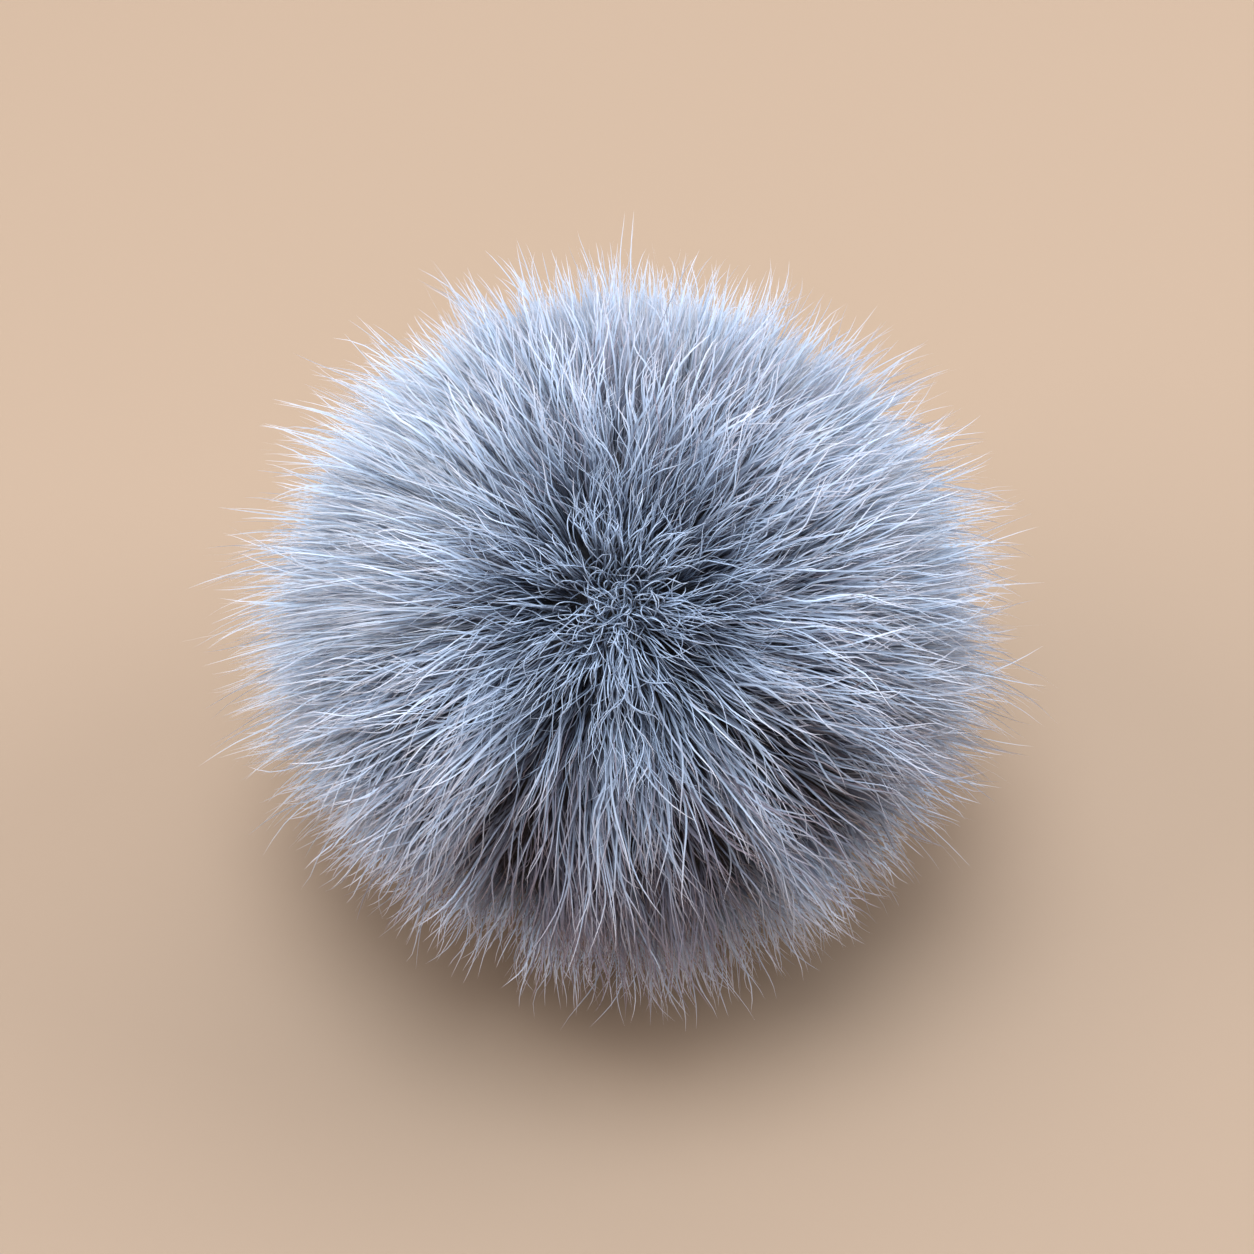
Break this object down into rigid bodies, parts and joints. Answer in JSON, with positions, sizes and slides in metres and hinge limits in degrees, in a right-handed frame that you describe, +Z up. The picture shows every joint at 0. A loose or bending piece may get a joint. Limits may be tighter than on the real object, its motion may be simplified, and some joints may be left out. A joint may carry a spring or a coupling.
{
  "type": "fur pom pom",
  "caption": "Soft round fur ball trimming whose long hair lies away from a crown, resting on a small flat spot.",
  "frame": {"origin": "on the surface it rests on, under the middle of the ball", "axes": "+Z up, -Y towards the front, where the crown that the hair grows away from points forwards and up"},
  "size_m": [0.081, 0.0814, 0.0709],
  "materials": {
    "fur": "matt grey-blue fur with a slight sheen, paler at the tips"
  },
  "bodies": {
    "root": {"fur_pile": "fur"}
  },
  "joints": []
}
